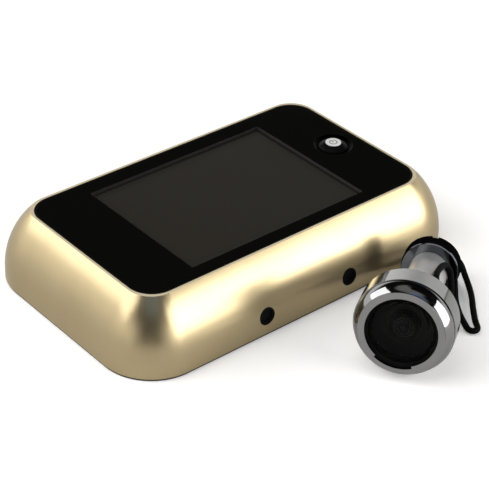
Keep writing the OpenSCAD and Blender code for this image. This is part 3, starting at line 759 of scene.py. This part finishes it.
def between(tree, value, first, second):
    """Number between two numbers or outputs, driven by a value from 0 to 1."""
    blend = tree.nodes.new("ShaderNodeMix")
    for socket, number in (("A", first), ("B", second)):
        if isinstance(number, (int, float)):
            blend.inputs[socket].default_value = number
        else:
            tree.links.new(number, blend.inputs[socket])
    tree.links.new(value, blend.inputs["Factor"])
    return blend.outputs["Result"]


def relief(tree, surface, value, height):
    """Bump of a given height in metres."""
    bump = tree.nodes.new("ShaderNodeBump")
    bump.inputs["Distance"].default_value = height
    tree.links.new(value, bump.inputs["Height"])
    tree.links.new(bump.outputs["Normal"], surface.inputs["Normal"])


def moulded(name, dark, light, tone_scale, gloss, grain_scale, grain_height, metallic=0, specular=0.5):
    """Finish with a wandering tone, uneven gloss and a fine relief."""
    material, tree, surface = new_material(name)
    tree.links.new(two_tone(tree, wander(tree, tone_scale), dark, light), surface.inputs["Base Color"])
    grain = object_noise(tree, grain_scale)
    tree.links.new(spread(tree, grain, *gloss), surface.inputs["Roughness"])
    relief(tree, surface, grain, grain_height)
    surface.inputs["Metallic"].default_value = metallic
    surface.inputs["Specular IOR Level"].default_value = specular
    return material


def dress(material, *names):
    """Give the named nodes one finish."""
    for name in names:
        slots = nodes[name].data.materials
        slots.clear()
        slots.append(material)
    print(material.name, "on", ", ".join(names))


def coat(material, *pieces):
    """Give new pieces one finish."""
    for piece in pieces:
        piece.data.materials.append(material)
    print(material.name, "on", len(pieces), "new pieces")


# %% masks by place
def object_axes(tree):
    """The piece's own x, y and z."""
    axes = tree.nodes.new("ShaderNodeSeparateXYZ")
    tree.links.new(object_place(tree), axes.inputs["Vector"])
    return axes.outputs["X"], axes.outputs["Y"], axes.outputs["Z"]


def apart(tree, first, first_middle, second, second_middle):
    """Distance in a plane from a point, given its two coordinates there."""
    aside = scalar(tree, "POWER", scalar(tree, "SUBTRACT", first, first_middle), 2)
    above = scalar(tree, "POWER", scalar(tree, "SUBTRACT", second, second_middle), 2)
    return scalar(tree, "SQRT", scalar(tree, "ADD", aside, above))


# %% champagne lacquer
LOCK_RADIUS = 3.0 * MM
# Height of the flat rim band that gets the painted highlight
RIM_HIGHLIGHT_BAND = 0.03 * MM
LACQUER_TONES = ((0.455, 0.366, 0.212), (0.49, 0.396, 0.233))
LACQUER_GLOSS = (0.28, 0.32)
LACQUER_RELIEF = 0.0009 * MM
LACQUER_METAL = 0.95
# Painted highlight on the rim: a paler tone, less metallic so that it looks lit
RIM_HIGHLIGHT_TONE = (0.56, 0.48, 0.325)
RIM_HIGHLIGHT_METAL = 0.1
# Painted shade: the lock holes' walls are painted near-black and matt
HOLE_SHADE_TONE = (0.002, 0.002, 0.002)
HOLE_SHADE_GLOSS = 0.8
champagne, lacquer_tree, lacquer_surface = new_material("champagne_lacquer")
shell_x, shell_y, shell_z = object_axes(lacquer_tree)
lacquer_tone = two_tone(lacquer_tree, wander(lacquer_tree, scale=60), *LACQUER_TONES)
flakes = object_noise(lacquer_tree, scale=4200)
relief(lacquer_tree, lacquer_surface, flakes, LACQUER_RELIEF)
# Mask of the rim's painted highlight
on_rim_highlight = scalar(lacquer_tree, "GREATER_THAN", shell_z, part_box("front_housing")[1].z - RIM_HIGHLIGHT_BAND)
in_either = []
for lock_x in LOCK_HOLES:
    off_hole = apart(lacquer_tree, shell_x, lock_x, shell_z, LOCK_HEIGHT)
    in_either.append(scalar(lacquer_tree, "LESS_THAN", off_hole, LOCK_RADIUS))
# Mask of the painted shade on the walls inside the lock holes
in_hole_shade = scalar(lacquer_tree, "MULTIPLY", scalar(lacquer_tree, "MAXIMUM", *in_either),
                 scalar(lacquer_tree, "LESS_THAN", shell_y, 0))
# The rim gets its painted highlight here
rim_highlight_tone = two_tone(lacquer_tree, on_rim_highlight, lacquer_tone, RIM_HIGHLIGHT_TONE)
lacquer_tree.links.new(two_tone(lacquer_tree, in_hole_shade, rim_highlight_tone, HOLE_SHADE_TONE),
                       lacquer_surface.inputs["Base Color"])
lacquer_gloss = spread(lacquer_tree, flakes, *LACQUER_GLOSS)
lacquer_tree.links.new(between(lacquer_tree, in_hole_shade, lacquer_gloss, HOLE_SHADE_GLOSS),
                       lacquer_surface.inputs["Roughness"])
metal_share = between(lacquer_tree, on_rim_highlight, LACQUER_METAL, RIM_HIGHLIGHT_METAL)
lacquer_tree.links.new(between(lacquer_tree, in_hole_shade, metal_share, 0), lacquer_surface.inputs["Metallic"])
dress(champagne, "front_housing")


# %% [markdown]
# The back cover and the battery lid are dark moulded plastic with a spark-eroded texture, the
# usual finish for a face that is held and slid. The texture is a coarse noise bump, and it
# also scatters the gloss. The bracket is powder-coated steel, a little smoother, and the case
# screws are blackened.

# %% back cover, lid and bracket
textured = moulded("textured_cover", dark=(0.018, 0.017, 0.016), light=(0.024, 0.023, 0.021),
                   tone_scale=300, gloss=(0.45, 0.62), grain_scale=1800, grain_height=0.03 * MM)
dress(textured, "rear_cover", "battery_door")
coat(textured, *ridges)
powder = moulded("powder_coat", dark=(0.022, 0.022, 0.023), light=(0.03, 0.03, 0.031),
                 tone_scale=120, gloss=(0.38, 0.5), grain_scale=2600, grain_height=0.02 * MM)
dress(powder, "wall_bracket")
blackened = moulded("blackened_steel", dark=(0.05, 0.05, 0.05), light=(0.08, 0.08, 0.08),
                    tone_scale=900, gloss=(0.3, 0.42), grain_scale=3000, grain_height=0.003 * MM,
                    metallic=0.9)
coat(blackened, *screws)


# %% [markdown]
# The front panel is a polished black sheet with an opening for the display. Its face is near
# mirror-smooth; only the cut wall of the opening is bare and grey, which draws the thin pale
# line along the far edges of the screen. The wall is found by its place: it is the only part
# of the panel that lies inside the screen's rectangle. A thin band along the sheet's edge is a
# painted shadow line for the gap to the rim, and the dish round the button is matt: both are
# deep black and mirror nothing.

# %% panel
WALL_REACH = 0.15 * MM
PANEL_CORNER = 8.6 * MM
# Width of the painted shadow line along the sheet's edge, at the gap to the rim
EDGE_SHADE_WIDTH = 0.6 * MM
DISH_RADIUS = 6.75 * MM
PANEL_TONE = (0.0053, 0.0052, 0.0046)
PANEL_GLOSS = (0.045, 0.075)
PANEL_IOR = 1.49
WALL_TONE = (0.054, 0.051, 0.046)
WALL_GLOSS = 0.5
# Deep black matt finish for the painted edge shadow line and for the dish
EDGE_SHADE_AND_DISH_TONE = (0.0012, 0.0012, 0.0012)
EDGE_SHADE_AND_DISH_GLOSS = 0.6


def middle_and_half(name):
    """Middle of a node's box, and half its size."""
    box_low, box_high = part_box(name)
    return (box_low + box_high) / 2, (box_high - box_low) / 2


def beyond_rectangle(tree, middle, half, corner=0):
    """How far a point lies outside a rectangle with round corners; below zero inside it."""
    places = object_axes(tree)
    past = []
    for axis in (0, 1):
        aside = scalar(tree, "ABSOLUTE", scalar(tree, "SUBTRACT", places[axis], middle[axis]))
        past.append(scalar(tree, "SUBTRACT", aside, half[axis] - corner))
    deepest = scalar(tree, "MINIMUM", scalar(tree, "MAXIMUM", *past), 0)
    outside = [scalar(tree, "MAXIMUM", step, 0) for step in past]
    away = scalar(tree, "ADD", apart(tree, outside[0], 0, outside[1], 0), deepest)
    return scalar(tree, "SUBTRACT", away, corner)


screen_middle, screen_half = middle_and_half("lcd_glass")
panel_middle, panel_half = middle_and_half("front_panel")
button_middle, _ = middle_and_half("button_cap")
panel_black, panel_tree, panel_surface = new_material("panel_black")
past_wall = beyond_rectangle(panel_tree, screen_middle, screen_half)
wall = scalar(panel_tree, "LESS_THAN", past_wall, WALL_REACH)
panel_tint = two_tone(panel_tree, wall, PANEL_TONE, WALL_TONE)
panel_x, panel_y, _ = object_axes(panel_tree)
in_dish = scalar(panel_tree, "LESS_THAN",
                 apart(panel_tree, panel_x, button_middle.x, panel_y, button_middle.y), DISH_RADIUS)
# Mask of the painted shadow line along the sheet's edge
on_edge_shade = scalar(panel_tree, "GREATER_THAN",
                 beyond_rectangle(panel_tree, panel_middle, panel_half, PANEL_CORNER), -EDGE_SHADE_WIDTH)
# The painted edge shadow line together with the matt dish
edge_shade_and_dish = scalar(panel_tree, "MAXIMUM", in_dish, on_edge_shade)
panel_tree.links.new(two_tone(panel_tree, edge_shade_and_dish, panel_tint, EDGE_SHADE_AND_DISH_TONE),
                     panel_surface.inputs["Base Color"])
panel_tree.links.new(edge_shade_and_dish, panel_surface.inputs["Metallic"])
smear = spread(panel_tree, object_noise(panel_tree, scale=90, detail=4.0), *PANEL_GLOSS)
panel_gloss = between(panel_tree, wall, smear, WALL_GLOSS)
panel_tree.links.new(between(panel_tree, edge_shade_and_dish, panel_gloss, EDGE_SHADE_AND_DISH_GLOSS),
                     panel_surface.inputs["Roughness"])
panel_surface.inputs["IOR"].default_value = PANEL_IOR
dress(panel_black, "front_panel")


# %% [markdown]
# The display is off: a dark warm grey polariser with a fine pixel raster that only shows close
# up, and a black printed border under its edge. The raster is a fine noise, far too fine to
# see in the photograph, so it only takes the plastic look away.

# %% display
BORDER = 1.0 * MM
BORDER_TONE = (0.019, 0.018, 0.0165)
DISPLAY_TONES = ((0.0415, 0.036, 0.028), (0.0475, 0.042, 0.0335))
DISPLAY_GLOSS = (0.16, 0.22)
display_off, display_tree, display_surface = new_material("display_off")
inside = beyond_rectangle(display_tree, screen_middle, screen_half)
border = scalar(display_tree, "GREATER_THAN", inside, -BORDER)
haze = spread(display_tree, object_noise(display_tree, scale=14, detail=1.0), 0, 1)
glow = two_tone(display_tree, haze, *DISPLAY_TONES)
display_tree.links.new(two_tone(display_tree, border, glow, BORDER_TONE),
                       display_surface.inputs["Base Color"])
raster = object_noise(display_tree, scale=9000, detail=0.0)
display_tree.links.new(spread(display_tree, raster, *DISPLAY_GLOSS), display_surface.inputs["Roughness"])
dress(display_off, "lcd_glass")


# %% [markdown]
# The button is a satin black dome with a pale disc let into its top. The disc carries a small
# grey switch symbol, a ring with a gap and a stroke, drawn by distance from the disc's centre
# so that it stays crisp at any size.

# %% button
button_gloss = moulded("button_gloss", dark=(0.0022, 0.0022, 0.0022), light=(0.003, 0.003, 0.003),
                       tone_scale=200, gloss=(0.3, 0.36), grain_scale=500, grain_height=0.001 * MM,
                       specular=0.05)
dress(button_gloss, "button_cap")

# %% symbol on the disc
RING_RADIUS = 1.25 * MM
RING_HALF = 0.2 * MM
STROKE_TOP = 1.7 * MM
STROKE_LOW = 0.1 * MM
GAP_HALF = 0.55 * MM
DISC_TONE = (0.62, 0.62, 0.61)
DISC_GLOSS = (0.3, 0.4)
SYMBOL_TONE = (0.13, 0.13, 0.13)
icon_middle, _ = middle_and_half("button_icon")
disc_print, disc_tree, disc_surface = new_material("disc_print")
disc_x, disc_y, _ = object_axes(disc_tree)
from_centre = apart(disc_tree, disc_x, icon_middle.x, disc_y, icon_middle.y)
off_ring = scalar(disc_tree, "ABSOLUTE", scalar(disc_tree, "SUBTRACT", from_centre, RING_RADIUS))
on_ring = scalar(disc_tree, "LESS_THAN", off_ring, RING_HALF)
beside = scalar(disc_tree, "ABSOLUTE", scalar(disc_tree, "SUBTRACT", disc_x, icon_middle.x))
upward = scalar(disc_tree, "SUBTRACT", disc_y, icon_middle.y)
in_gap = scalar(disc_tree, "MULTIPLY", scalar(disc_tree, "LESS_THAN", beside, GAP_HALF),
                scalar(disc_tree, "GREATER_THAN", upward, 0))
ring_part = scalar(disc_tree, "MULTIPLY", on_ring, scalar(disc_tree, "SUBTRACT", 1, in_gap))
stroke_span = scalar(disc_tree, "MULTIPLY", scalar(disc_tree, "LESS_THAN", upward, STROKE_TOP),
                     scalar(disc_tree, "GREATER_THAN", upward, STROKE_LOW))
stroke = scalar(disc_tree, "MULTIPLY", scalar(disc_tree, "LESS_THAN", beside, RING_HALF), stroke_span)
symbol = scalar(disc_tree, "MAXIMUM", ring_part, stroke)
disc_tree.links.new(two_tone(disc_tree, symbol, DISC_TONE, SYMBOL_TONE), disc_surface.inputs["Base Color"])
disc_gloss = spread(disc_tree, object_noise(disc_tree, scale=900), *DISC_GLOSS)
disc_tree.links.new(disc_gloss, disc_surface.inputs["Roughness"])
dress(disc_print, "button_icon")


# %% [markdown]
# The camera head, its sleeve and its washer are polished, plated metal. Chrome shows the room
# and little of itself, so the finish is nearly a mirror, with a faint haze of wiping marks in
# the roughness and a very low waviness. The tube of the sleeve is only brushed: it has the
# same plating with a wider sheen, from the flange's face forward, measured along the axis. The
# flange's outer band, which is gripped when the sleeve is screwed up, is coated matt black. The
# threaded stem is bare turned metal.

# %% chrome
FLANGE_FACE = -33.5 * MM
FLANGE_EDGE = -33.75 * MM
head_turn = Vector((0, 0, 1)).rotation_difference(head_axis).to_euler()


def head_axes(tree):
    """Distance from the head's axis, and distance along it from the back face forward."""
    aligned = tree.nodes.new("ShaderNodeMapping")
    aligned.vector_type = "TEXTURE"
    aligned.inputs["Location"].default_value = head_back
    aligned.inputs["Rotation"].default_value = head_turn
    tree.links.new(object_place(tree), aligned.inputs["Vector"])
    axes = tree.nodes.new("ShaderNodeSeparateXYZ")
    tree.links.new(aligned.outputs["Vector"], axes.inputs["Vector"])
    return apart(tree, axes.outputs["X"], 0, axes.outputs["Y"], 0), axes.outputs["Z"]


chrome = moulded("bright_chrome", dark=(0.27, 0.273, 0.275), light=(0.29, 0.29, 0.288),
                 tone_scale=150, gloss=(0.05, 0.1), grain_scale=700, grain_height=0.0006 * MM,
                 metallic=1)
dress(chrome, "camera_shell", "camera_bezel")
dark_nickel = moulded("dark_nickel", dark=(0.16, 0.17, 0.185), light=(0.18, 0.19, 0.2),
                      tone_scale=150, gloss=(0.07, 0.12), grain_scale=700, grain_height=0.0006 * MM,
                      metallic=1)
dress(dark_nickel, "sleeve_washer")
turned = moulded("turned_stem", dark=(0.5, 0.5, 0.5), light=(0.6, 0.6, 0.59),
                 tone_scale=400, gloss=(0.2, 0.3), grain_scale=2400, grain_height=0.002 * MM,
                 metallic=1)
coat(turned, stem)


# %% plated sleeve
BAND_TONES = ((0.0015, 0.0015, 0.0015), (0.0025, 0.0025, 0.0025))
BAND_GLOSS = 0.5
FACE_TONES = ((0.085, 0.095, 0.107), (0.095, 0.105, 0.117))
FACE_GLOSS = 0.1
TUBE_TONES = ((0.52, 0.515, 0.505), (0.56, 0.555, 0.54))
TUBE_GLOSS = (0.36, 0.44)
TUBE_METAL = 0.75
TUBE_RELIEF = 0.0006 * MM
plated, plated_tree, plated_surface = new_material("plated_sleeve")
_, along = head_axes(plated_tree)
on_tube = scalar(plated_tree, "GREATER_THAN", along, FLANGE_FACE)
on_face = scalar(plated_tree, "GREATER_THAN", along, FLANGE_EDGE)
plate_tone = wander(plated_tree, scale=150)
face_tone = two_tone(plated_tree, plate_tone, *FACE_TONES)
band_tone = two_tone(plated_tree, plate_tone, *BAND_TONES)
flange_tone = two_tone(plated_tree, on_face, band_tone, face_tone)
tube_tone = two_tone(plated_tree, plate_tone, *TUBE_TONES)
plated_tree.links.new(two_tone(plated_tree, on_tube, flange_tone, tube_tone),
                      plated_surface.inputs["Base Color"])
brushing = object_noise(plated_tree, scale=900)
flange_gloss = between(plated_tree, on_face, BAND_GLOSS, FACE_GLOSS)
plate_gloss = between(plated_tree, on_tube, flange_gloss, spread(plated_tree, brushing, *TUBE_GLOSS))
plated_tree.links.new(plate_gloss, plated_surface.inputs["Roughness"])
relief(plated_tree, plated_surface, brushing, TUBE_RELIEF)
plated_tree.links.new(between(plated_tree, on_tube, on_face, TUBE_METAL), plated_surface.inputs["Metallic"])
plated_surface.inputs["Specular IOR Level"].default_value = 0
dress(plated, "sleeve_nut")


# %% [markdown]
# The window in front of the lens is smoked acrylic. It is really see-through, so the lens and
# its holder sit behind it at their own depth; the tint hides nearly all of them. What is left
# is a few faint rings: the black lip of the barrel, the paler glass and its dark pupil, each set
# by its distance from the head's axis. The window's rubber seat and the grommet are matt black.

# %% window and rubber
SMOKE_TONE = (0.004, 0.004, 0.0036, 1)
SMOKE_ALPHA = 0.32
SMOKE_SPECULAR = 0.06
SMOKE_GLOSS = (0.05, 0.09)
smoke, smoke_tree, smoke_surface = new_material("smoked_window")
smoke_surface.inputs["Base Color"].default_value = SMOKE_TONE
smoke_surface.inputs["Alpha"].default_value = SMOKE_ALPHA
smoke_surface.inputs["Specular IOR Level"].default_value = SMOKE_SPECULAR
smoke_gloss = spread(smoke_tree, object_noise(smoke_tree, scale=300, detail=3.0), *SMOKE_GLOSS)
smoke_tree.links.new(smoke_gloss, smoke_surface.inputs["Roughness"])
dress(smoke, "camera_window")
rubber = moulded("black_rubber", dark=(0.0015, 0.0015, 0.0015), light=(0.0025, 0.0025, 0.0025),
                 tone_scale=500, gloss=(0.6, 0.75), grain_scale=3000, grain_height=0.01 * MM,
                 specular=0.1)
dress(rubber, "window_gasket", "stem_grommet")
coat(rubber, *lock_seals)


# %% lens and holder
BARREL_LIP = (3.2 * MM, 4.7 * MM)
PUPIL = (0.7 * MM, 1.7 * MM)
LENS_SPECULAR = 0.2


def ringed(name, plain, ring, span, gloss):
    """Finish with one ring of another tone round the head's axis, and a slightly uneven gloss."""
    material, tree, surface = new_material(name)
    off_axis, _ = head_axes(tree)
    past_start = scalar(tree, "GREATER_THAN", off_axis, span[0])
    in_ring = scalar(tree, "MULTIPLY", past_start, scalar(tree, "LESS_THAN", off_axis, span[1]))
    tree.links.new(two_tone(tree, in_ring, plain, ring), surface.inputs["Base Color"])
    tree.links.new(spread(tree, object_noise(tree, scale=3000), *gloss), surface.inputs["Roughness"])
    surface.inputs["Specular IOR Level"].default_value = LENS_SPECULAR
    return material


holder_black = ringed("holder_black", plain=(0.034, 0.034, 0.032), ring=(0.002, 0.002, 0.002),
                      span=BARREL_LIP, gloss=(0.4, 0.5))
dress(holder_black, "lens_holder")
lens_glass = ringed("lens_glass", plain=(0.024, 0.024, 0.025), ring=(0.01, 0.009, 0.011),
                    span=PUPIL, gloss=(0.03, 0.06))
dress(lens_glass, "camera_lens")


# %% [markdown]
# Inside the shell nothing shows until a lid comes off, but each piece still has its own plain
# finish: green board, black chips, amber ribbon, steel frame, nickel contacts, cell wraps.

# %% inside pieces
def inner(node, name, dark, light, scale, gloss, metallic=0):
    """Dress a hidden piece in a finish with a wandering tone and an even gloss."""
    material, tree, surface = new_material(name)
    tree.links.new(two_tone(tree, wander(tree, scale), dark, light), surface.inputs["Base Color"])
    surface.inputs["Roughness"].default_value = gloss
    surface.inputs["Metallic"].default_value = metallic
    dress(material, node)


inner("main_board", "board_green", dark=(0.01, 0.07, 0.03), light=(0.015, 0.1, 0.045),
      scale=600, gloss=0.45)
inner("sensor_board", "sensor_black", dark=(0.04, 0.042, 0.04), light=(0.046, 0.048, 0.046),
      scale=600, gloss=0.5)
inner("board_parts", "chip_black", dark=(0.015, 0.015, 0.016), light=(0.025, 0.025, 0.026),
      scale=800, gloss=0.5)
inner("lcd_ribbon", "ribbon_amber", dark=(0.36, 0.17, 0.04), light=(0.45, 0.22, 0.06),
      scale=300, gloss=0.35)
inner("lcd_frame", "frame_steel", dark=(0.5, 0.5, 0.5), light=(0.6, 0.6, 0.59),
      scale=400, gloss=0.35, metallic=1)
inner("lcd_gasket", "foam_black", dark=(0.012, 0.012, 0.012), light=(0.02, 0.02, 0.02),
      scale=2500, gloss=0.9)
inner("tact_switch", "switch_black", dark=(0.03, 0.03, 0.032), light=(0.04, 0.04, 0.042),
      scale=500, gloss=0.5)
inner("camera_socket", "nylon_white", dark=(0.68, 0.66, 0.6), light=(0.74, 0.72, 0.66),
      scale=400, gloss=0.45)
inner("battery_cells", "cell_wrap", dark=(0.03, 0.09, 0.075), light=(0.04, 0.11, 0.09),
      scale=90, gloss=0.3)
inner("battery_contacts", "contact_nickel", dark=(0.56, 0.54, 0.5), light=(0.64, 0.62, 0.58),
      scale=500, gloss=0.25, metallic=1)


# %% [markdown]
# The lead's jacket is soft black vinyl with a slight sheen, and the plug is black nylon.

# %% lead and plug finishes
jacket = moulded("lead_jacket", dark=(0.0025, 0.0025, 0.0025), light=(0.0035, 0.0035, 0.0035),
                 tone_scale=400, gloss=(0.5, 0.6), grain_scale=2500, grain_height=0.008 * MM,
                 specular=0.03)
coat(jacket, lead)
nylon = moulded("plug_nylon", dark=(0.012, 0.012, 0.012), light=(0.018, 0.018, 0.018),
                tone_scale=400, gloss=(0.4, 0.5), grain_scale=3000, grain_height=0.006 * MM)
coat(nylon, plug)


# %% [markdown]
# Last, plain colour settings.

# %% settings
bpy.context.scene.view_settings.view_transform = "Standard"
